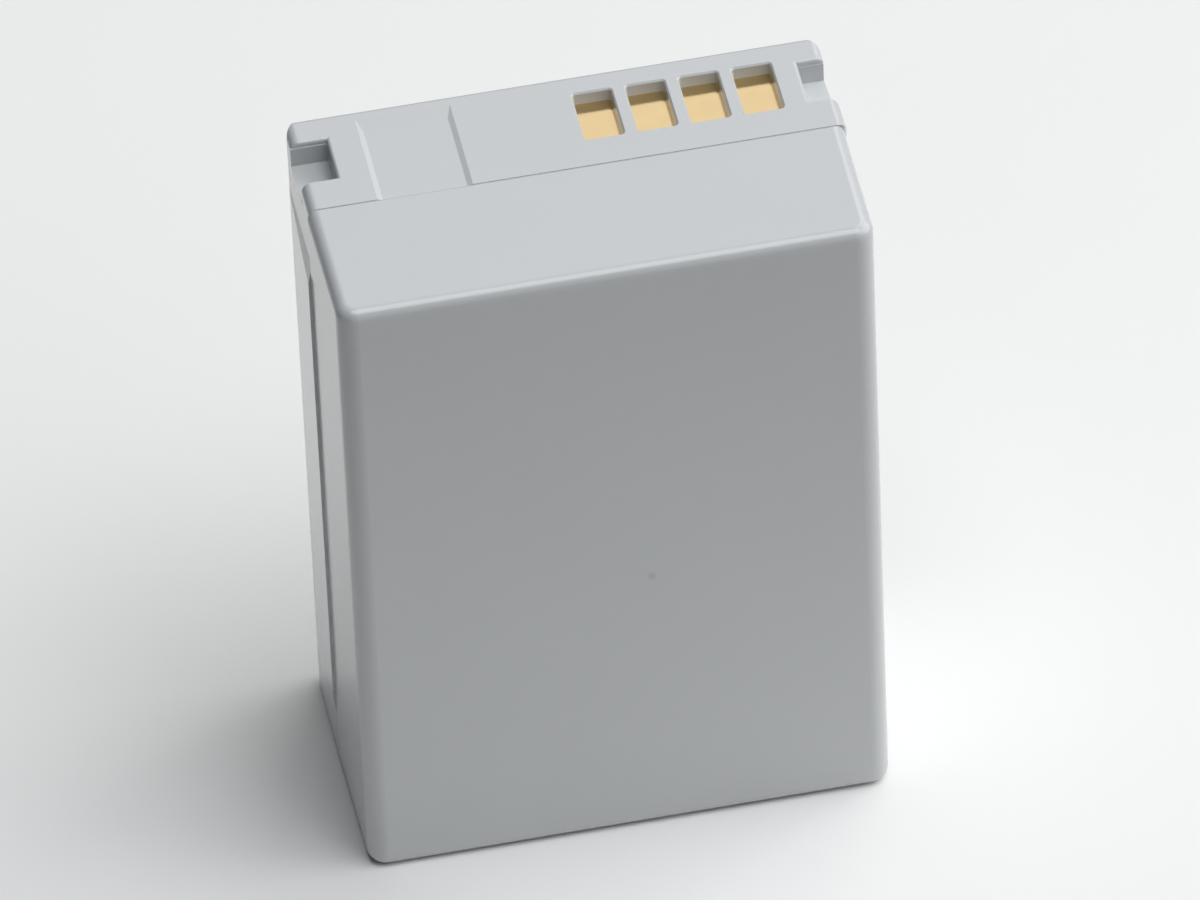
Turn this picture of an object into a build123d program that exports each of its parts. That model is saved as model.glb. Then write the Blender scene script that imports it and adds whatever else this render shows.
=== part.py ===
"""Rechargeable camera battery: a welded two-part case round two flat cells and a protection board.

Millimetres. X runs across the pack, Y from the front face to the back face, Z up.
The origin is the centre of the base. The contacts are at the top, near the back.
"""
import os

from build123d import *

os.makedirs("parts", exist_ok=True)

# Case, outside
case_w = 32.5
case_d = 17.6
case_h = 46.5
wall = 1.0
ceiling_wall = 0.9
front_edge_r = 1.2
front_top_r = 0.75
base_corner_r = 0.95
back_corner_r = 1.3
back_edge_r = 0.45
strip_edge_r = 0.6

# Parting line: the sides widen towards it, and the rear shell's rim stands proud of the front one's
rear_depth = 8.04
side_draft = 0.1
seam_bevel = 0.04
seam_run = 0.12
top_step = 0.03
rim_proud = 0.16
rim_ramp = 1.5
rim_slope = 0.25
rim_end_margin = 4.5

# Welded lap joint inside the parting line
lip_t = 0.45
lip_h = 0.9
lip_side_gap = 0.05
lip_end_gap = 0.1

# Contact windows in the terminal strip, placed from the right side and the back
window_count = 4
window_pitch = 3.25
window_w = 2.4
window_l = 4.05
window_r = 0.2
window_bevel = 0.1
window_side_margin = 4.3
window_back_margin = 3.73

# Key notches at the ends of the terminal strip
notch_left_w = 2.25
notch_right_w = 1.55
notch_l = 3.6
notch_depth = 1.75
notch_back_margin = 2.09
notch_ledge = 0.05
notch_ledge_drop = 0.4
notch_rim_r = 0.2
notch_corner_r = 0.6

# Shallow recess in the terminal strip, open to the front
recess_w = 5.8
recess_depth = 0.12
recess_side_margin = 4.2
recess_back_margin = 0.8
recess_slope = 0.33
recess_ramp = 1.1

# Ribs on the side walls that locate the cells
rib_h = 0.4
rib_w = 1.0
rib_drop = 1.0
cell_side_gap = 0.05

# Cells: their size is what the case leaves for them
cell_side_flat = 0.25
cell_edge_r = 0.4
terminal_h = 0.5
terminal_r = 0.4
rivet_w = 3.4
rivet_l = 2.4
weld_pad_w = 4.0
weld_pad_l = 3.0
weld_pad_margin = 5.8

# Sheets and pads
separator_t = 0.2
separator_margin = 0.3
insulator_t = 0.25
hole_gap = 0.5
base_pad_t = 0.5
base_pad_margin = 2.0
face_pad_t = 0.4
face_pad_margin_x = 4.0
face_pad_margin_z = 5.0

# Circuit board and the plates on it
board_t = 0.8
board_side_gap = 0.35
board_pocket_gap = 0.2
board_corner_r = 0.5
contact_t = 0.3
contact_overlap_x = 0.25
contact_overlap_y = 0.4
contact_corner_r = 0.3
leg_w = 1.2
leg_t = 0.3
leg_slot_gap = 0.1

# Moulded carrier under the board
carrier_h = 2.1
carrier_inset = 0.3
carrier_wall = 1.3

# Nickel strips
tab_t = 0.15
tab_w = 2.6
tab_bend_r = 0.3
tab_end = 1.4
riser_margin = 3.0
foot_l = 2.4
tap_w = 2.0
tap_y = -1.6
tap_reach = 2.5
tap_foot = 1.3

# Chips under the board
chip_w = 3.0
chip_l = 3.4
chip_t = 0.9
chip_x = 0.6
chip_y = 0.4
transistor_w = 3.0
transistor_l = 4.4
transistor_t = 1.0
transistor_shift = 0.6
fuse_w = 3.2
fuse_l = 2.5
fuse_t = 0.9
fuse_past_pad = 1.2
fuse_y = -0.8
thermistor_w = 1.6
thermistor_l = 0.8
thermistor_t = 0.8
thermistor_y = 0.4
passive_w = 1.0
passive_l = 0.5
passive_t = 0.5
passive_step_x = 1.5
passive_step_y = 1.0
passive_columns = 2
passive_rows = 3
passive_gap = 1.6
chip_edge = 0.1
lead_w = 0.35
lead_t = 0.15
lead_pitch = 0.95
lead_reach = 0.7
chip_leads = 3
transistor_leads = 4

# Spans of the case that follow from the sizes above
half_w = case_w / 2
half_d = case_d / 2
seam_half_w = half_w + side_draft
rim_half_w = seam_half_w + rim_proud
parting_y = half_d - rear_depth
front_top_z = case_h - top_step
rim_base_z = rim_end_margin
rim_top_z = case_h - rim_end_margin
floor_z = wall
ceiling_z = case_h - ceiling_wall
inner_w = case_w - 2 * wall
inner_h = ceiling_z - floor_z
inner_mid_z = floor_z + inner_h / 2
inner_back_y = half_d - wall

# Windows, notches and recess
window_last_x = half_w - window_side_margin
window_first_x = window_last_x - window_pitch * (window_count - 1)
window_mid_x = (window_first_x + window_last_x) / 2
window_mid_y = half_d - window_back_margin
notch_back_y = half_d - notch_back_margin
notch_front_y = notch_back_y - notch_l
notch_ledge_y = notch_back_y - notch_ledge
notch_left_x = notch_left_w - half_w
notch_right_x = half_w - notch_right_w
notch_floor_z = case_h - notch_depth
pocket_base_z = notch_floor_z - wall
pocket_left_x = notch_left_x + wall
pocket_right_x = notch_right_x - wall
pocket_front_y = notch_front_y - wall
recess_mid_x = recess_side_margin - half_w + recess_w / 2
recess_back_y = half_d - recess_back_margin
recess_front_y = parting_y - recess_ramp

# Stack from the ceiling down to the cells, and the cells' own size
contact_base_z = ceiling_z - contact_t
board_base_z = contact_base_z - board_t
carrier_base_z = board_base_z - carrier_h
cell_top_z = carrier_base_z - insulator_t
cell_base_z = floor_z + base_pad_t
cell_mid_z = (cell_base_z + cell_top_z) / 2
cell_h = cell_top_z - cell_base_z
cell_w = inner_w - 2 * (rib_h + cell_side_gap)
cell_outer_y = inner_back_y - face_pad_t
cell_t = cell_outer_y - separator_t / 2
cell_mid_y = cell_outer_y - cell_t / 2
cell_corner_r = cell_t / 2 - cell_side_flat
rib_mid_x = (inner_w - rib_h) / 2
rib_top_z = cell_top_z - rib_drop
terminal_z = cell_top_z + terminal_h
weld_pad_x = cell_w / 2 - weld_pad_margin
face_pad_w = cell_w - 2 * face_pad_margin_x
face_pad_h = cell_h - 2 * face_pad_margin_z

# Contacts, strips and chips
contact_w = window_w + 2 * contact_overlap_x
contact_l = window_l + 2 * contact_overlap_y
leg_y = window_mid_y - contact_l / 2 + leg_t / 2
tab_mid_z = terminal_z + tab_t / 2
foot_mid_z = board_base_z - tab_t / 2
riser_x = weld_pad_x - riser_margin
tap_x = -weld_pad_x - tap_reach
transistor_x = -weld_pad_x / 2
transistor_y = transistor_shift - cell_mid_y
fuse_x = weld_pad_x + fuse_past_pad
passive_x = chip_x + chip_w / 2 + passive_gap + passive_step_x / 2

# Front shell: a deep tray that opens backwards, with a weld lip inside its rim
with BuildPart() as front_shell:
    with BuildSketch(Plane.XY) as front_plan:
        with BuildLine():
            Polyline(
                (-half_w, -half_d),
                (half_w, -half_d),
                (seam_half_w, parting_y - seam_run),
                (seam_half_w - seam_bevel, parting_y),
                (seam_bevel - seam_half_w, parting_y),
                (-seam_half_w, parting_y - seam_run),
                close=True,
            )
        make_face()
        fillet(front_plan.vertices().group_by(Axis.Y)[0], front_edge_r)
    extrude(amount=front_top_z)
    # Rounded edges at the top and the base, all but those on the parting line
    front_top = front_shell.faces().sort_by(Axis.Z)[-1].edges()
    fillet(front_top.filter_by_position(Axis.Y, -half_d, parting_y - seam_run), front_top_r)
    front_base = front_shell.faces().sort_by(Axis.Z)[0].edges()
    fillet(front_base.filter_by_position(Axis.Y, -half_d, parting_y - seam_run), base_corner_r)
    # Bevel of the parting line across the top and the base
    with BuildSketch(Plane.YZ):
        with BuildLine():
            Polyline(
                (-half_d, 0),
                (parting_y - seam_run, 0),
                (parting_y, seam_bevel),
                (parting_y, front_top_z - seam_bevel),
                (parting_y - seam_run, front_top_z),
                (-half_d, front_top_z),
                close=True,
            )
        make_face()
    extrude(amount=seam_half_w, both=True, mode=Mode.INTERSECT)
    with BuildSketch(Plane.XZ.offset(-parting_y)):
        with Locations((0, inner_mid_z)):
            Rectangle(inner_w, inner_h)
    extrude(amount=parting_y + inner_back_y, mode=Mode.SUBTRACT)
    with BuildSketch(Plane.XZ.offset(-parting_y)):
        with Locations((0, inner_mid_z)):
            Rectangle(inner_w + 2 * lip_t, inner_h + 2 * lip_t)
            Rectangle(inner_w, inner_h, mode=Mode.SUBTRACT)
    extrude(amount=-lip_h)
    with BuildSketch(Plane.XY.offset(floor_z)):
        for side in (-1, 1):
            with Locations((side * rib_mid_x, -cell_mid_y)):
                Rectangle(rib_h, rib_w)
    extrude(amount=rib_top_z - floor_z)
front_shell.part.label = "front_shell"

# Rear shell: a shallow tray with the terminal strip along its top
with BuildPart() as rear_shell:
    # The proud rim ends below the notch on the left and runs to the top on the right
    with BuildSketch(Plane.XZ.offset(-parting_y)) as rear_outline:
        with BuildLine():
            Polyline(
                (-seam_half_w, 0),
                (seam_half_w, 0),
                (seam_half_w, rim_base_z),
                (rim_half_w, rim_base_z + rim_ramp),
                (rim_half_w, case_h),
                (-half_w, case_h),
                (-half_w, rim_top_z),
                (-rim_half_w, rim_top_z - rim_ramp),
                (-rim_half_w, rim_base_z + rim_ramp),
                (-seam_half_w, rim_base_z),
                close=True,
            )
        make_face()
        fillet(rear_outline.vertices().group_by(Axis.Y)[-1], strip_edge_r)
        fillet(rear_outline.vertices().group_by(Axis.Y)[0], base_corner_r)
    extrude(amount=parting_y - half_d)
    with BuildSketch(Plane.YZ) as rear_side:
        with Locations(((parting_y + half_d) / 2, case_h / 2)):
            Rectangle(rear_depth, case_h)
        fillet(rear_side.vertices().group_by(Axis.X)[-1], back_edge_r)
    extrude(amount=rim_half_w, both=True, mode=Mode.INTERSECT)
    # Its sides draw in from the rim to the back, and the right rim slopes in to the parting line
    with BuildSketch(Plane.XY) as rear_plan:
        with BuildLine():
            Polyline(
                (-rim_half_w, parting_y),
                (seam_half_w, parting_y),
                (rim_half_w, parting_y + rim_slope),
                (half_w, half_d),
                (-half_w, half_d),
                close=True,
            )
        make_face()
        fillet(rear_plan.vertices().group_by(Axis.Y)[-1], back_corner_r)
    extrude(amount=case_h, mode=Mode.INTERSECT)
    with BuildSketch(Plane.XZ.offset(-parting_y)):
        with Locations((0, inner_mid_z)):
            Rectangle(inner_w, inner_h)
    extrude(amount=parting_y - inner_back_y, mode=Mode.SUBTRACT)
    # Rebate that takes the front shell's lip
    with BuildSketch(Plane.XZ.offset(-parting_y)):
        with Locations((0, inner_mid_z)):
            rebate = lip_t + lip_side_gap
            Rectangle(inner_w + 2 * rebate, inner_h + 2 * rebate)
    extrude(amount=-(lip_h + lip_end_gap), mode=Mode.SUBTRACT)
    # Walls of the two key pockets inside the case
    with BuildSketch(Plane.XY.offset(pocket_base_z)):
        with Locations(((pocket_left_x - inner_w / 2) / 2, (pocket_front_y + inner_back_y) / 2)):
            Rectangle(pocket_left_x + inner_w / 2, inner_back_y - pocket_front_y)
        with Locations(((pocket_right_x + inner_w / 2) / 2, (pocket_front_y + inner_back_y) / 2)):
            Rectangle(inner_w / 2 - pocket_right_x, inner_back_y - pocket_front_y)
    extrude(amount=ceiling_z - pocket_base_z)
    # Key notches, open to the sides, with a ledge on the back wall and rounded front corners
    for back_y, base_z in ((notch_ledge_y, notch_floor_z), (notch_back_y, case_h - notch_ledge_drop)):
        with BuildSketch(Plane.XY.offset(base_z)) as notch_plan:
            for side, inner_x in ((-1, notch_left_x), (1, notch_right_x)):
                outer_x = side * (rim_half_w + notch_corner_r)
                with Locations(((inner_x + outer_x) / 2, (back_y + notch_front_y) / 2)):
                    Rectangle(abs(outer_x - inner_x), back_y - notch_front_y)
                with Locations((side * (rim_half_w + notch_corner_r / 2), notch_front_y - notch_corner_r)):
                    Rectangle(notch_corner_r, 2 * notch_corner_r)
                corner = notch_plan.vertices().sort_by_distance((side * rim_half_w, notch_front_y))[0]
                fillet(corner, notch_corner_r)
        extrude(amount=case_h - base_z, mode=Mode.SUBTRACT)
    # Four contact windows through the strip, with bevelled mouths
    with BuildSketch(Plane.XY.offset(ceiling_z)):
        with Locations((window_mid_x, window_mid_y)):
            with GridLocations(window_pitch, 0, window_count, 1):
                RectangleRounded(window_w, window_l, window_r)
    extrude(amount=ceiling_wall, mode=Mode.SUBTRACT)
    strip_top = rear_shell.faces().filter_by(Axis.Z).sort_by(Axis.Z)[-1]
    chamfer([edge for mouth in strip_top.inner_wires() for edge in mouth.edges()], window_bevel)
    notch_edges = rear_shell.edges().filter_by_position(Axis.Z, case_h, case_h)
    notch_edges = notch_edges.filter_by_position(Axis.Y, notch_front_y, notch_back_y)
    left_rim = notch_edges.filter_by_position(Axis.X, -rim_half_w, notch_left_x)
    right_rim = notch_edges.filter_by_position(Axis.X, notch_right_x, rim_half_w)
    fillet(left_rim + right_rim, notch_rim_r)
    # Shallow recess, open to the front, with short slopes at its sides and a long ramp at the back
    for base_z, width, back_y in (
        (case_h, recess_w, recess_back_y),
        (case_h - recess_depth, recess_w - 2 * recess_slope, recess_back_y - recess_ramp),
    ):
        with BuildSketch(Plane.XY.offset(base_z)):
            with Locations((recess_mid_x, (back_y + recess_front_y) / 2)):
                Rectangle(width, back_y - recess_front_y)
    loft(ruled=True, mode=Mode.SUBTRACT)
    with BuildSketch(Plane.XY.offset(floor_z)):
        for side in (-1, 1):
            with Locations((side * rib_mid_x, cell_mid_y)):
                Rectangle(rib_h, rib_w)
    extrude(amount=rib_top_z - floor_z)
rear_shell.part.label = "rear_shell"

# Front cell: a flat drawn can with a rivet terminal and a weld pad on its lid
with BuildPart() as front_cell:
    with BuildSketch(Plane.XY.offset(cell_base_z)):
        with Locations((0, -cell_mid_y)):
            RectangleRounded(cell_w, cell_t, cell_corner_r)
    extrude(amount=cell_h)
    fillet(front_cell.faces().sort_by(Axis.Z)[0].edges(), cell_edge_r)
    with BuildSketch(Plane.XY.offset(cell_top_z)):
        with Locations((0, -cell_mid_y)):
            RectangleRounded(rivet_w, rivet_l, terminal_r)
        with Locations((-weld_pad_x, -cell_mid_y)):
            RectangleRounded(weld_pad_w, weld_pad_l, terminal_r)
    extrude(amount=terminal_h)
front_cell.part.label = "front_cell"

# Rear cell: the same can turned half round, so that its weld pad is at the other end
with BuildPart() as rear_cell:
    add(front_cell.part.rotate(Axis.Z, 180))
rear_cell.part.label = "rear_cell"

# Sheet between the cells
with BuildPart() as cell_separator:
    with BuildSketch(Plane.XZ.offset(-separator_t / 2)):
        with Locations((0, cell_mid_z)):
            RectangleRounded(cell_w - 2 * separator_margin, cell_h, cell_edge_r)
    extrude(amount=separator_t)
cell_separator.part.label = "cell_separator"

# Sheet over the lids, with holes for the terminals
with BuildPart() as top_insulator:
    with BuildSketch(Plane.XY.offset(cell_top_z)):
        RectangleRounded(cell_w, 2 * cell_outer_y, cell_corner_r)
        for turn in (-1, 1):
            with Locations((0, turn * cell_mid_y)):
                Rectangle(rivet_w + hole_gap, rivet_l + hole_gap, mode=Mode.SUBTRACT)
            with Locations((turn * weld_pad_x, turn * cell_mid_y)):
                Rectangle(weld_pad_w + hole_gap, weld_pad_l + hole_gap, mode=Mode.SUBTRACT)
    extrude(amount=insulator_t)
top_insulator.part.label = "top_insulator"

# Foam pads under the cells and on the two broad faces
with BuildPart() as base_pad:
    with BuildSketch(Plane.XY.offset(floor_z)):
        Rectangle(cell_w - 2 * base_pad_margin, 2 * cell_outer_y - 2 * base_pad_margin)
    extrude(amount=base_pad_t)
base_pad.part.label = "base_pad"

with BuildPart() as front_pad:
    with BuildSketch(Plane.XZ.offset(cell_outer_y)):
        with Locations((0, cell_mid_z)):
            Rectangle(face_pad_w, face_pad_h)
    extrude(amount=face_pad_t)
front_pad.part.label = "front_pad"

with BuildPart() as rear_pad:
    with BuildSketch(Plane.XZ.offset(-cell_outer_y)):
        with Locations((0, cell_mid_z)):
            Rectangle(face_pad_w, face_pad_h)
    extrude(amount=-face_pad_t)
rear_pad.part.label = "rear_pad"

# Board outline, cut back at both rear corners to clear the key pockets
board_half_w = inner_w / 2 - board_side_gap
board_half_d = inner_back_y - board_side_gap
board_step_y = pocket_front_y - board_pocket_gap
board_left_x = pocket_left_x + board_pocket_gap
board_right_x = pocket_right_x - board_pocket_gap

with BuildSketch(Plane.XY) as board_outline:
    with BuildLine():
        Polyline(
            (-board_half_w, -board_half_d),
            (board_half_w, -board_half_d),
            (board_half_w, board_step_y),
            (board_right_x, board_step_y),
            (board_right_x, board_half_d),
            (board_left_x, board_half_d),
            (board_left_x, board_step_y),
            (-board_half_w, board_step_y),
            close=True,
        )
    make_face()

# Carrier: a moulded frame that stands on the top sheet and holds the board
with BuildPart() as board_carrier:
    with BuildSketch(Plane.XY.offset(carrier_base_z)):
        offset(board_outline.sketch, amount=-carrier_inset, kind=Kind.INTERSECTION)
        offset(
            board_outline.sketch,
            amount=-carrier_inset - carrier_wall,
            kind=Kind.INTERSECTION,
            mode=Mode.SUBTRACT,
        )
    extrude(amount=board_base_z - carrier_base_z)
board_carrier.part.label = "board_carrier"

# Circuit board, with a slot for each contact's leg
with BuildPart() as circuit_board:
    with BuildSketch(Plane.XY.offset(board_base_z)) as board_face:
        add(board_outline.sketch)
        fillet(board_face.vertices(), board_corner_r)
        with Locations((window_mid_x, leg_y)):
            with GridLocations(window_pitch, 0, window_count, 1):
                Rectangle(leg_w + 2 * leg_slot_gap, leg_t + 2 * leg_slot_gap, mode=Mode.SUBTRACT)
    extrude(amount=board_t)
circuit_board.part.label = "circuit_board"


def contact_plate(index):
    """Returns one contact: a plate under its window, with a leg down through the board."""
    centre_x = window_first_x + index * window_pitch
    with BuildPart() as plate:
        with BuildSketch(Plane.XY.offset(contact_base_z)):
            with Locations((centre_x, window_mid_y)):
                RectangleRounded(contact_w, contact_l, contact_corner_r)
        extrude(amount=contact_t)
        with BuildSketch(Plane.XY.offset(contact_base_z)):
            with Locations((centre_x, leg_y)):
                Rectangle(leg_w, leg_t)
        extrude(amount=-board_t)
    return plate.part


# Contacts, in order from the middle of the strip to its right end
with BuildPart() as contact_negative:
    add(contact_plate(0))
contact_negative.part.label = "contact_negative"

with BuildPart() as contact_data:
    add(contact_plate(1))
contact_data.part.label = "contact_data"

with BuildPart() as contact_thermistor:
    add(contact_plate(2))
contact_thermistor.part.label = "contact_thermistor"

with BuildPart() as contact_positive:
    add(contact_plate(3))
contact_positive.part.label = "contact_positive"

# Nickel strips, bent up from the terminals to the underside of the board
with BuildPart() as negative_tab:
    with BuildSketch(Plane.XZ.offset(cell_mid_y - tab_w / 2)):
        with BuildLine():
            FilletPolyline(
                (-tab_end, tab_mid_z),
                (riser_x, tab_mid_z),
                (riser_x, foot_mid_z),
                (riser_x + foot_l, foot_mid_z),
                radius=tab_bend_r,
            )
        trace(line_width=tab_t)
    extrude(amount=tab_w)
negative_tab.part.label = "negative_tab"

with BuildPart() as positive_tab:
    with BuildSketch(Plane.XZ.offset(-cell_mid_y - tab_w / 2)):
        with BuildLine():
            FilletPolyline(
                (weld_pad_x + tab_end, tab_mid_z),
                (riser_x, tab_mid_z),
                (riser_x, foot_mid_z),
                (riser_x - foot_l, foot_mid_z),
                radius=tab_bend_r,
            )
        trace(line_width=tab_t)
    extrude(amount=tab_w)
positive_tab.part.label = "positive_tab"

with BuildPart() as series_link:
    with BuildSketch(Plane.XY.offset(terminal_z)):
        with Locations((-weld_pad_x, 0)):
            Rectangle(tab_w, 2 * cell_mid_y + tab_w)
        with Locations(((tab_end - weld_pad_x) / 2, cell_mid_y)):
            Rectangle(weld_pad_x + tab_end, tab_w)
    extrude(amount=tab_t)
    with BuildSketch(Plane.XZ.offset(-tap_y - tap_w / 2)):
        with BuildLine():
            FilletPolyline(
                (-weld_pad_x, tab_mid_z),
                (tap_x, tab_mid_z),
                (tap_x, foot_mid_z),
                (tap_x - tap_foot, foot_mid_z),
                radius=tab_bend_r,
            )
        trace(line_width=tab_t)
    extrude(amount=tap_w)
series_link.part.label = "series_link"

# Chips on the underside of the board
with BuildPart() as protection_chip:
    with BuildSketch(Plane.XY.offset(board_base_z)):
        with Locations((chip_x, chip_y)):
            Rectangle(chip_w, chip_l)
    extrude(amount=-chip_t)
    chamfer(protection_chip.faces().sort_by(Axis.Z)[0].edges(), chip_edge)
    with BuildSketch(Plane.XY.offset(board_base_z)):
        with Locations((chip_x, chip_y)):
            with GridLocations(lead_pitch, 0, chip_leads, 1):
                Rectangle(lead_w, chip_l + 2 * lead_reach)
    extrude(amount=-lead_t)
protection_chip.part.label = "protection_chip"

with BuildPart() as switch_transistor:
    with BuildSketch(Plane.XY.offset(board_base_z)):
        with Locations((transistor_x, transistor_y)):
            Rectangle(transistor_w, transistor_l)
    extrude(amount=-transistor_t)
    chamfer(switch_transistor.faces().sort_by(Axis.Z)[0].edges(), chip_edge)
    with BuildSketch(Plane.XY.offset(board_base_z)):
        with Locations((transistor_x, transistor_y)):
            with GridLocations(0, lead_pitch, 1, transistor_leads):
                Rectangle(transistor_w + 2 * lead_reach, lead_w)
    extrude(amount=-lead_t)
switch_transistor.part.label = "switch_transistor"

with BuildPart() as thermal_fuse:
    with BuildSketch(Plane.XY.offset(board_base_z)):
        with Locations((fuse_x, fuse_y)):
            Rectangle(fuse_w, fuse_l)
    extrude(amount=-fuse_t)
    chamfer(thermal_fuse.faces().sort_by(Axis.Z)[0].edges(), chip_edge)
thermal_fuse.part.label = "thermal_fuse"

with BuildPart() as thermistor:
    with BuildSketch(Plane.XY.offset(board_base_z)):
        with Locations((transistor_x, thermistor_y)):
            Rectangle(thermistor_w, thermistor_l)
    extrude(amount=-thermistor_t)
thermistor.part.label = "thermistor"

with BuildPart() as chip_passives:
    with BuildSketch(Plane.XY.offset(board_base_z)):
        with Locations((passive_x, chip_y)):
            with GridLocations(passive_step_x, passive_step_y, passive_columns, passive_rows):
                Rectangle(passive_w, passive_l)
    extrude(amount=-passive_t)
chip_passives.part.label = "chip_passives"

export_step(front_shell.part, "parts/front_shell.step")
export_step(rear_shell.part, "parts/rear_shell.step")
export_step(front_cell.part, "parts/front_cell.step")
export_step(rear_cell.part, "parts/rear_cell.step")
export_step(cell_separator.part, "parts/cell_separator.step")
export_step(top_insulator.part, "parts/top_insulator.step")
export_step(base_pad.part, "parts/base_pad.step")
export_step(front_pad.part, "parts/front_pad.step")
export_step(rear_pad.part, "parts/rear_pad.step")
export_step(board_carrier.part, "parts/board_carrier.step")
export_step(circuit_board.part, "parts/circuit_board.step")
export_step(contact_negative.part, "parts/contact_negative.step")
export_step(contact_data.part, "parts/contact_data.step")
export_step(contact_thermistor.part, "parts/contact_thermistor.step")
export_step(contact_positive.part, "parts/contact_positive.step")
export_step(negative_tab.part, "parts/negative_tab.step")
export_step(positive_tab.part, "parts/positive_tab.step")
export_step(series_link.part, "parts/series_link.step")
export_step(protection_chip.part, "parts/protection_chip.step")
export_step(switch_transistor.part, "parts/switch_transistor.step")
export_step(thermal_fuse.part, "parts/thermal_fuse.step")
export_step(thermistor.part, "parts/thermistor.step")
export_step(chip_passives.part, "parts/chip_passives.step")
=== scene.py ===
"""Dresses the camera battery: satin case, gold contacts, the works inside, floor, light and camera."""
import logging
import math
from dataclasses import dataclass
from enum import Enum

import bpy
from mathutils import Matrix, Vector

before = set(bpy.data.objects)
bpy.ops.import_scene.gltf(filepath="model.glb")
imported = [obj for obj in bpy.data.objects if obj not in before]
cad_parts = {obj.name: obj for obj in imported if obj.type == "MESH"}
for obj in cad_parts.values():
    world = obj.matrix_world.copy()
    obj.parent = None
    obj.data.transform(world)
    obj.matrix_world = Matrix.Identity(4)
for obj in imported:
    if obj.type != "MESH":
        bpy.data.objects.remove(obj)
LOG = logging.getLogger("camera_battery")
MM = 0.001
MIDDLE = 0.5
CLOUD_DETAIL = 3.0
HARSH = 0.6
Colour = tuple[float, float, float]
Place = tuple[float, float, float]


class Sock:
    """An output socket of a shader. Arithmetic on it adds Math nodes to its tree."""

    def __init__(self, tree: bpy.types.NodeTree, output: bpy.types.NodeSocket) -> None:
        """Wraps one output.

        Args:
            tree: the node tree that holds the socket.
            output: the socket itself.
        """
        self.tree = tree
        self.output = output

    def math(self, operation: str, left: "Value", right: "Value") -> "Sock":
        """Adds one Math node.

        Args:
            operation: the node's operation.
            left: its first value.
            right: its second value.

        Returns:
            The node's result.
        """
        return Shader.add(self.tree, "ShaderNodeMath", {"operation": operation}, {0: left, 1: right})

    def __add__(self, other: "Value") -> "Sock":
        """self + other."""
        return self.math("ADD", self, other)

    def __radd__(self, other: "Value") -> "Sock":
        """other + self."""
        return self.math("ADD", other, self)

    def __sub__(self, other: "Value") -> "Sock":
        """self - other."""
        return self.math("SUBTRACT", self, other)

    def __rsub__(self, other: "Value") -> "Sock":
        """other - self."""
        return self.math("SUBTRACT", other, self)

    def __mul__(self, other: "Value") -> "Sock":
        """self * other."""
        return self.math("MULTIPLY", self, other)

    def __rmul__(self, other: "Value") -> "Sock":
        """other * self."""
        return self.math("MULTIPLY", other, self)


Value = Sock | float | tuple[float, ...]


class Axis(Enum):
    """Ways that a grain can run."""

    X = 0
    Y = 1
    Z = 2


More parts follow.
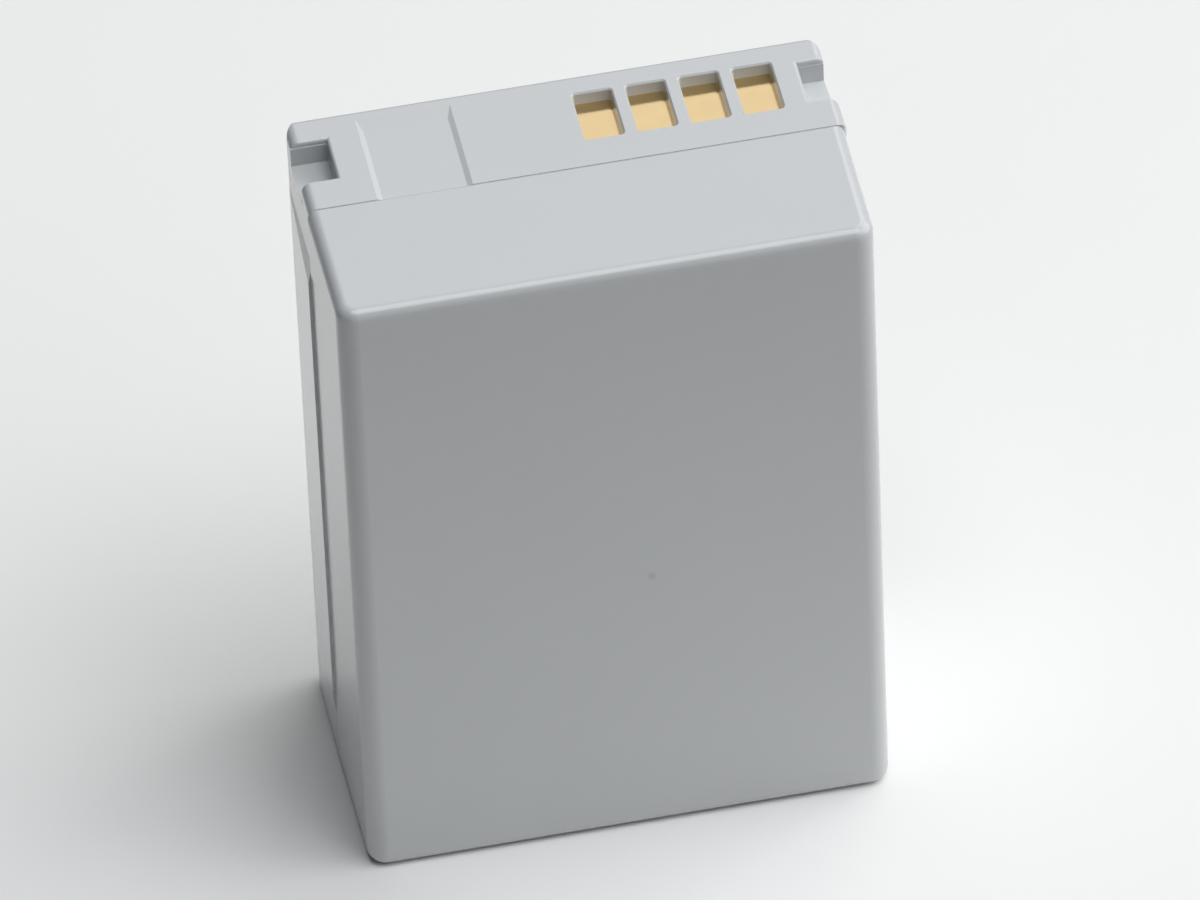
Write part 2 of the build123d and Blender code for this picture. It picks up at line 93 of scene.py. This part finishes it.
class Shader:
    """A material with one Principled BSDF, and the patterns that the finishes share."""

    def __init__(self, name: str) -> None:
        """Starts a material.

        Args:
            name: the material's name.
        """
        self.material = bpy.data.materials.new(name)
        self.material.use_nodes = True
        self.tree = self.material.node_tree
        self.bsdf = next(n for n in self.tree.nodes if n.type == "BSDF_PRINCIPLED")

    @staticmethod
    def add(
        tree: bpy.types.NodeTree,
        kind: str,
        settings: dict[str, object] | None = None,
        inputs: dict[str | int, Value] | None = None,
        output: str | int = 0,
    ) -> Sock:
        """Adds any node.

        Args:
            tree: the tree that takes the node.
            kind: the node's type.
            settings: its properties, set first.
            inputs: values or links of its sockets, by name or number.
            output: the output to return.

        Returns:
            That output.
        """
        node = tree.nodes.new(kind)
        for key, value in (settings or {}).items():
            setattr(node, key, value)
        for key, value in (inputs or {}).items():
            Shader.join(tree, value, node.inputs[key])
        return Sock(tree, node.outputs[output])

    @staticmethod
    def join(tree: bpy.types.NodeTree, value: Value, socket: bpy.types.NodeSocket) -> None:
        """Links or sets one input.

        Args:
            tree: the tree that holds the socket.
            value: a link, a number or a tuple.
            socket: the input.
        """
        if isinstance(value, Sock):
            tree.links.new(value.output, socket)
        elif isinstance(value, tuple) and socket.type == "RGBA":
            socket.default_value = (*value, 1.0)
        else:
            socket.default_value = value

    def node(
        self,
        kind: str,
        settings: dict[str, object] | None = None,
        inputs: dict[str | int, Value] | None = None,
        output: str | int = 0,
    ) -> Sock:
        """Adds a node to this material; see add for the arguments and the result."""
        return Shader.add(self.tree, kind, settings, inputs, output)

    def place(self, run: Axis | None = None, squeeze: float = 1.0) -> Sock:
        """Coordinates to read a pattern from.

        Args:
            run: the way that the pattern is drawn out, if any.
            squeeze: scale of the coordinates that way; a small one makes long marks.

        Returns:
            A vector socket.
        """
        scale = tuple(squeeze if axis is run else 1.0 for axis in Axis)
        source = self.node("ShaderNodeTexCoord", output="Object")
        return self.node("ShaderNodeVectorMath", {"operation": "MULTIPLY"}, {0: source, 1: scale})

    def noise(self, place: Sock, scale: float, detail: float = 2.0, roughness: float = 0.5) -> Sock:
        """Cloudy noise from 0 to 1.

        Args:
            place: the coordinates.
            scale: cells per metre.
            detail: octaves.
            roughness: weight of the fine octaves.

        Returns:
            The noise's value.
        """
        inputs = {"Vector": place, "Scale": scale, "Detail": detail, "Roughness": roughness}
        return self.node("ShaderNodeTexNoise", inputs=inputs)

    def step(self, value: Value, low: float, high: float) -> Sock:
        """A smooth step from 0 at low to 1 at high.

        Args:
            value: what is measured.
            low: where the step starts.
            high: where it ends.

        Returns:
            The step's value.
        """
        settings = {"interpolation_type": "SMOOTHSTEP"}
        return self.node("ShaderNodeMapRange", settings, {"Value": value, "From Min": low, "From Max": high})

    def swing(self, noise: Sock, spread: float) -> Sock:
        """The noise as a change to both sides of zero, spread wide from end to end."""
        return (noise - MIDDLE) * spread

    def mix(self, factor: Value, first: Value, second: Value) -> Sock:
        """Mixes two colours.

        Args:
            factor: share of the second colour.
            first: colour at 0.
            second: colour at 1.

        Returns:
            The mixed colour.
        """
        return self.node("ShaderNodeMix", {"data_type": "RGBA"}, {0: factor, 6: first, 7: second}, 2)

    def tones(self, factor: Value, colour: Colour, dark: float, light: float) -> Sock:
        """Mixes a darker and a lighter tone of one colour.

        Args:
            factor: share of the lighter tone.
            colour: the colour between them.
            dark: the darker tone's share of it.
            light: the lighter tone's share of it.

        Returns:
            The mixed colour.
        """
        return self.mix(factor, scaled(colour, dark), scaled(colour, light))

    def distance(self, place: Sock, centre: Place) -> Sock:
        """Distance of the surface from a point.

        Args:
            place: the coordinates.
            centre: the point, in metres.

        Returns:
            The distance in metres.
        """
        return self.node("ShaderNodeVectorMath", {"operation": "DISTANCE"}, {0: place, 1: centre}, "Value")

    def bump(self, height: Sock, depth: float) -> Sock:
        """A bumped normal.

        Args:
            height: the relief from 0 to 1.
            depth: metres from low to high.

        Returns:
            The normal.
        """
        return self.node("ShaderNodeBump", inputs={"Height": height, "Distance": depth, "Strength": 1.0})

    def finish(self, **sockets: Value) -> bpy.types.Material:
        """Feeds the BSDF.

        Args:
            sockets: values by input name, with _ for a space.

        Returns:
            The material.
        """
        for name, value in sockets.items():
            Shader.join(self.tree, value, self.bsdf.inputs[name.replace("_", " ")])
        return self.material


def scaled(colour: Colour, factor: float) -> Colour:
    """The colour times a factor."""
    return tuple(min(1.0, c * factor) for c in colour)


@dataclass(frozen=True)
class CasePlastic:
    """Satin grey moulded plastic with a fine spark-eroded grain, faint handling marks and one speck."""

    colour: Colour = (0.592, 0.602, 0.615)
    roughness: float = 0.13
    ior: float = 1.5
    cloud_scale: float = 110.0
    cloud_dark: float = 0.985
    cloud_light: float = 1.015
    cloud_gloss: float = 0.04
    grain_scale: float = 6500.0
    grain_depth: float = 0.0014 * MM
    grain_gloss: float = 0.06
    streak_scale: float = 2600.0
    streak_squeeze: float = 0.05
    streak_from: float = 0.6
    streak_to: float = 0.78
    streak_share: float = 0.03
    streak_light: float = 1.08
    streak_gloss: float = 0.015
    speck: Place = (1.88 * MM, -8.8 * MM, 21.11 * MM)
    speck_core_r: float = 0.105 * MM
    speck_r: float = 0.42 * MM
    speck_share: float = 0.2
    speck_dark: float = 0.3

    def make(self) -> bpy.types.Material:
        """Returns the case's material."""
        shader = Shader("case_plastic")
        place = shader.place()
        clouds = shader.noise(place, self.cloud_scale, CLOUD_DETAIL)
        grain = shader.noise(place, self.grain_scale, roughness=HARSH)
        slide = shader.noise(shader.place(Axis.Z, self.streak_squeeze), self.streak_scale)
        streaks = shader.step(slide, self.streak_from, self.streak_to)
        speck = 1.0 - shader.step(shader.distance(place, self.speck), self.speck_core_r, self.speck_r)
        tone = shader.tones(clouds, self.colour, self.cloud_dark, self.cloud_light)
        tone = shader.mix(streaks * self.streak_share, tone, scaled(self.colour, self.streak_light))
        tone = shader.mix(speck * self.speck_share, tone, scaled(self.colour, self.speck_dark))
        gloss = self.roughness + shader.swing(grain, self.grain_gloss)
        gloss = gloss + shader.swing(clouds, self.cloud_gloss) - streaks * self.streak_gloss
        relief = shader.bump(grain, self.grain_depth)
        return shader.finish(Base_Color=tone, Roughness=gloss, IOR=self.ior, Normal=relief)


@dataclass(frozen=True)
class GoldPlate:
    """Gold plating over nickel, with a fine rolled grain and soft wiping marks."""

    colour: Colour = (0.8, 0.61, 0.335)
    roughness: float = 0.14
    cloud_scale: float = 700.0
    cloud_dark: float = 0.94
    cloud_light: float = 1.05
    rolled_scale: float = 9000.0
    rolled_squeeze: float = 0.04
    rolled_depth: float = 0.0008 * MM
    rolled_gloss: float = 0.12
    wiped_scale: float = 2200.0
    wiped_squeeze: float = 0.12
    wiped_from: float = 0.55
    wiped_to: float = 0.75
    wiped_gloss: float = 0.08

    def make(self) -> bpy.types.Material:
        """Returns the contacts' material."""
        shader = Shader("contact_gold")
        clouds = shader.noise(shader.place(), self.cloud_scale, CLOUD_DETAIL)
        rolled = shader.noise(shader.place(Axis.Y, self.rolled_squeeze), self.rolled_scale)
        rubbed = shader.noise(shader.place(Axis.Y, self.wiped_squeeze), self.wiped_scale)
        wiped = shader.step(rubbed, self.wiped_from, self.wiped_to)
        tone = shader.tones(clouds, self.colour, self.cloud_dark, self.cloud_light)
        gloss = self.roughness + shader.swing(rolled, self.rolled_gloss) - wiped * self.wiped_gloss
        relief = shader.bump(rolled, self.rolled_depth)
        return shader.finish(Base_Color=tone, Roughness=gloss, Metallic=1.0, Normal=relief)


@dataclass(frozen=True)
class BareMetal:
    """Plain drawn or rolled metal, with its grain along one axis."""

    name: str
    colour: Colour
    roughness: float
    run: Axis
    line_squeeze: float
    line_scale: float = 4000.0
    line_depth: float = 0.0015 * MM
    line_gloss: float = 0.2
    cloud_scale: float = 160.0
    cloud_dark: float = 0.93
    cloud_light: float = 1.05

    def make(self) -> bpy.types.Material:
        """Returns the metal's material."""
        shader = Shader(self.name)
        lines = shader.noise(shader.place(self.run, self.line_squeeze), self.line_scale)
        clouds = shader.noise(shader.place(), self.cloud_scale, CLOUD_DETAIL)
        tone = shader.tones(clouds, self.colour, self.cloud_dark, self.cloud_light)
        gloss = self.roughness + shader.swing(lines, self.line_gloss)
        relief = shader.bump(lines, self.line_depth)
        return shader.finish(Base_Color=tone, Roughness=gloss, Metallic=1.0, Normal=relief)


@dataclass(frozen=True)
class SolderMask:
    """Green board with copper runs under the mask."""

    colour: Colour = (0.012, 0.13, 0.055)
    copper: Colour = (0.03, 0.2, 0.075)
    roughness: float = 0.3
    run_scale: float = 420.0
    run_offset: float = 0.3
    run_gap: float = 0.035
    run_depth: float = 0.02 * MM
    weave_scale: float = 5200.0
    weave_detail: float = 1.0
    weave_gloss: float = 0.1

    def make(self) -> bpy.types.Material:
        """Returns the board's material."""
        shader = Shader("board_laminate")
        place = shader.place()
        inputs = {"Vector": place, "Scale": self.run_scale, "Mortar Size": self.run_gap}
        gaps = shader.node("ShaderNodeTexBrick", {"offset": self.run_offset}, inputs, "Fac")
        weave = shader.noise(place, self.weave_scale, self.weave_detail)
        tone = shader.mix(gaps, self.copper, self.colour)
        gloss = self.roughness + shader.swing(weave, self.weave_gloss)
        return shader.finish(Base_Color=tone, Roughness=gloss, Normal=shader.bump(gaps, self.run_depth))


@dataclass(frozen=True)
class DullBody:
    """Matt moulded, pressed or foamed stuff, with a speckle at its own scale."""

    name: str
    colour: Colour
    roughness: float
    speckle_scale: float
    speckle_depth: float
    contrast: float
    cloud_scale_share: float = 0.06
    speckle_share: float = 0.6
    cloud_share: float = 0.4
    speckle_gloss: float = 0.12

    def make(self) -> bpy.types.Material:
        """Returns the material."""
        shader = Shader(self.name)
        place = shader.place()
        speckle = shader.noise(place, self.speckle_scale, CLOUD_DETAIL, HARSH)
        clouds = shader.noise(place, self.speckle_scale * self.cloud_scale_share)
        blend = speckle * self.speckle_share + clouds * self.cloud_share
        tone = shader.tones(blend, self.colour, 1.0 - self.contrast, 1.0 + self.contrast)
        gloss = self.roughness + shader.swing(speckle, self.speckle_gloss)
        relief = shader.bump(speckle, self.speckle_depth)
        return shader.finish(Base_Color=tone, Roughness=gloss, Normal=relief)


@dataclass(frozen=True)
class PaleFloor:
    """Pale painted table top with very faint clouds."""

    colour: Colour = (0.915, 0.905, 0.9)
    roughness: float = 0.55
    shine: float = 0.25
    cloud_scale: float = 38.0
    cloud_detail: float = 4.0
    cloud_dark: float = 0.985
    cloud_light: float = 1.012
    cloud_gloss: float = 0.1

    def make(self) -> bpy.types.Material:
        """Returns the floor's material."""
        shader = Shader("pale_floor")
        clouds = shader.noise(shader.place(), self.cloud_scale, self.cloud_detail, HARSH)
        tone = shader.tones(clouds, self.colour, self.cloud_dark, self.cloud_light)
        gloss = self.roughness + shader.swing(clouds, self.cloud_gloss)
        return shader.finish(Base_Color=tone, Roughness=gloss, Specular_IOR_Level=self.shine)


@dataclass
class Assembly:
    """CAD nodes that share one finish."""

    nodes: tuple[str, ...]
    finish: CasePlastic | GoldPlate | BareMetal | SolderMask | DullBody

    def dress(self) -> None:
        """Gives every node its finish."""
        material = self.finish.make()
        for name in self.nodes:
            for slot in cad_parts[name].material_slots:
                slot.material = material
            LOG.info("dressed %s with %s", name, material.name)


@dataclass(frozen=True)
class Lamp:
    """A round soft lamp that looks at the battery, in metres."""

    name: str
    place: Place
    size: float
    level: float
    colour: Colour = (1.0, 1.0, 1.0)
    aim: Place = (0.0, 0.0, 0.02)

    def build(self) -> None:
        """Adds the lamp, with the power that gives level times white on a face turned towards it."""
        data = bpy.data.lights.new(self.name, "AREA")
        data.shape = "DISK"
        data.size = self.size
        data.color = self.colour
        way = Vector(self.aim) - Vector(self.place)
        data.energy = self.level * math.pi ** 2 * way.length_squared
        lamp = bpy.data.objects.new(self.name, data)
        lamp.location = self.place
        lamp.rotation_euler = way.to_track_quat("-Z", "Y").to_euler()
        bpy.context.scene.collection.objects.link(lamp)
        LOG.info("lamp %s", self.name)


@dataclass
class Studio:
    """Floor, surroundings, lamps and camera. Angles are in degrees and _px values in photo pixels."""

    floor_size: float = 0.26
    reflected: float = 0.19
    backdrop: float = 0.95
    lamps: tuple[Lamp, ...] = (
        Lamp("overhead_lamp", (0.118, -0.199, 1.147), 0.9, 0.54, (0.93, 0.985, 1.0)),
        Lamp("window_lamp", (1.015, 0.0, 0.56), 1.2, 0.595),
        Lamp("back_lamp", (0.572, 0.572, 0.837), 0.8, 0.2),
        Lamp("front_lamp", (0.547, -0.506, 0.896), 0.8, 0.16),
        Lamp("back_card", (0.146, 0.852, 0.852), 0.7, 0.07),
    )
    azimuth: float = 9.759
    elevation: float = 43.87
    roll: float = 2.535
    target: Place = (0.0, 0.0, 22.0 * MM)
    focal_px: float = 16852.0
    px_per_mm: float = 16.518
    right_px: float = -8.2
    up_px: float = 21.79
    width_px: float = 1200.0
    sensor_mm: float = 36.0

    def build_floor(self) -> None:
        """Adds the floor under the battery."""
        bpy.ops.object.select_all(action="DESELECT")
        bpy.ops.mesh.primitive_plane_add(size=self.floor_size)
        floor = bpy.context.object
        floor.name = "table_top"
        floor.data.materials.append(PaleFloor().make())
        LOG.info("floor %.2f m across", self.floor_size)

    def build_surroundings(self) -> None:
        """Shows the camera a pale backdrop and the shiny faces a dim room. The lamps alone give light."""
        world = bpy.data.worlds.new("surroundings")
        world.use_nodes = True
        bpy.context.scene.world = world
        tree = world.node_tree
        seen = Shader.add(tree, "ShaderNodeLightPath", output="Is Camera Ray")
        rays = seen.output.node.outputs
        shiny = Sock(tree, rays["Is Glossy Ray"]) + Sock(tree, rays["Is Transmission Ray"])
        shiny = shiny.math("MINIMUM", shiny, 1.0)
        background = next(n for n in tree.nodes if n.type == "BACKGROUND")
        Shader.join(tree, (1.0, 1.0, 1.0), background.inputs["Color"])
        Shader.join(tree, seen * self.backdrop + shiny * self.reflected, background.inputs["Strength"])

    def build_lamps(self) -> None:
        """Adds the lamp overhead, three on the right, and a dim one behind that the gold mirrors."""
        for lamp in self.lamps:
            lamp.build()

    def build_camera(self) -> None:
        """Adds the camera at the photograph's place."""
        azimuth, elevation, roll = (math.radians(a) for a in (self.azimuth, self.elevation, self.roll))
        ahead = Vector((math.sin(azimuth), math.cos(azimuth), 0.0))
        back = math.sin(elevation) * Vector((0.0, 0.0, 1.0)) - math.cos(elevation) * ahead
        level = Vector((math.cos(azimuth), -math.sin(azimuth), 0.0))
        upright = back.cross(level)
        right = math.cos(roll) * level - math.sin(roll) * upright
        up = math.sin(roll) * level + math.cos(roll) * upright
        pixel = MM / self.px_per_mm
        aim = Vector(self.target) + (self.up_px * up - self.right_px * right) * pixel
        data = bpy.data.cameras.new("camera")
        data.sensor_width = self.sensor_mm
        data.lens = self.focal_px * self.sensor_mm / self.width_px
        camera = bpy.data.objects.new("camera", data)
        turn = Matrix((right, up, back)).transposed().to_4x4()
        camera.matrix_world = Matrix.Translation(aim + back * self.focal_px * pixel) @ turn
        bpy.context.scene.collection.objects.link(camera)
        bpy.context.scene.camera = camera
        bpy.context.scene.view_settings.view_transform = "Standard"
        LOG.info("camera at %s", tuple(round(c, 4) for c in camera.location))

    def build(self) -> None:
        """Builds the studio."""
        self.build_floor()
        self.build_surroundings()
        self.build_lamps()
        self.build_camera()


ASSEMBLIES: tuple[Assembly, ...] = (
    Assembly(("front_shell", "rear_shell"), CasePlastic()),
    Assembly(("contact_negative", "contact_data", "contact_thermistor", "contact_positive"), GoldPlate()),
    Assembly(
        ("front_cell", "rear_cell"),
        BareMetal("cell_can", (0.72, 0.73, 0.74), roughness=0.38, run=Axis.Z, line_squeeze=0.03),
    ),
    Assembly(
        ("negative_tab", "positive_tab", "series_link"),
        BareMetal("nickel", (0.62, 0.59, 0.54), roughness=0.34, run=Axis.X, line_squeeze=0.05),
    ),
    Assembly(("circuit_board",), SolderMask()),
    Assembly(
        ("protection_chip", "switch_transistor", "thermal_fuse", "thermistor", "chip_passives"),
        DullBody("chip_resin", (0.022, 0.022, 0.024), roughness=0.55, speckle_scale=9000.0,
                 speckle_depth=0.004 * MM, contrast=0.25),
    ),
    Assembly(
        ("board_carrier",),
        DullBody("carrier_plastic", (0.06, 0.06, 0.062), roughness=0.5, speckle_scale=6000.0,
                 speckle_depth=0.003 * MM, contrast=0.15),
    ),
    Assembly(
        ("cell_separator", "top_insulator"),
        DullBody("insulating_paper", (0.62, 0.64, 0.58), roughness=0.75, speckle_scale=2400.0,
                 speckle_depth=0.01 * MM, contrast=0.1),
    ),
    Assembly(
        ("base_pad", "front_pad", "rear_pad"),
        DullBody("foam", (0.05, 0.05, 0.052), roughness=0.9, speckle_scale=3200.0,
                 speckle_depth=0.05 * MM, contrast=0.35),
    ),
)


def main() -> None:
    """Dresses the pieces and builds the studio."""
    logging.basicConfig(level=logging.INFO, format="%(name)s: %(message)s")
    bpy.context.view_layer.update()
    for assembly in ASSEMBLIES:
        assembly.dress()
    Studio().build()


if __name__ == "__main__":
    main()
